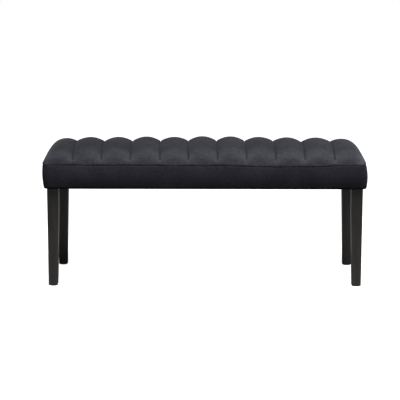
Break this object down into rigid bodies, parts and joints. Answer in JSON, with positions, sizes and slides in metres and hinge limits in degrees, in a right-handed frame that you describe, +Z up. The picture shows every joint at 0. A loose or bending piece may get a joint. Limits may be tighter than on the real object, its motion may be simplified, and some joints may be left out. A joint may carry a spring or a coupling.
{
  "type": "upholstered bench",
  "caption": "Backless upholstered bench: a crowned, channel-tufted velvet seat with a plain side band, on a doweled rail frame and tapered square wooden legs.",
  "frame": {"origin": "on the floor, under the middle of the seat", "axes": "+Z up, +X along the seat to the right as seen from the front, -Y to the front"},
  "size_m": [1.15, 0.4, 0.511],
  "materials": {
    "dark_wood": "dark espresso satin lacquer",
    "glide_plastic": "moulded nylon",
    "frame_wood": "sawn softwood",
    "dowel_wood": "turned hardwood",
    "plywood": "raw plywood",
    "zinc_steel": "zinc plated",
    "foam": "open-cell foam",
    "backing_cloth": "plain woven",
    "wadding": "polyester fibre",
    "velvet": "short-pile velvet, charcoal",
    "dust_cloth": "black nonwoven"
  },
  "bodies": {
    "root": {"leg_front_left": "dark_wood", "glide_front_left": "glide_plastic", "corner_block_front_left": "frame_wood", "leg_front_right": "dark_wood", "glide_front_right": "glide_plastic", "corner_block_front_right": "frame_wood", "leg_rear_right": "dark_wood", "glide_rear_right": "glide_plastic", "corner_block_rear_right": "frame_wood", "leg_rear_left": "dark_wood", "glide_rear_left": "glide_plastic", "corner_block_rear_left": "frame_wood", "front_rail": "frame_wood", "rear_rail": "frame_wood", "left_end_rail": "frame_wood", "right_end_rail": "frame_wood", "cross_rail_left": "frame_wood", "cross_rail_right": "frame_wood", "frame_dowels": "dowel_wood", "seat_deck": "plywood", "glide_nails": "zinc_steel", "hanger_bolts": "zinc_steel", "tee_nuts": "zinc_steel", "corner_block_screws": "zinc_steel", "deck_screws": "zinc_steel", "seat_foam": "foam", "channel_backing": "backing_cloth", "channel_pad_01": "wadding", "channel_pad_02": "wadding", "channel_pad_03": "wadding", "channel_pad_04": "wadding", "channel_pad_05": "wadding", "channel_pad_06": "wadding", "channel_pad_07": "wadding", "channel_pad_08": "wadding", "channel_pad_09": "wadding", "channel_pad_10": "wadding", "channel_pad_11": "wadding", "front_wadding": "wadding", "rear_wadding": "wadding", "left_wadding": "wadding", "right_wadding": "wadding", "cover_top_panel": "velvet", "cover_boxing": "velvet", "dust_cover": "dust_cloth"}
  },
  "joints": []
}
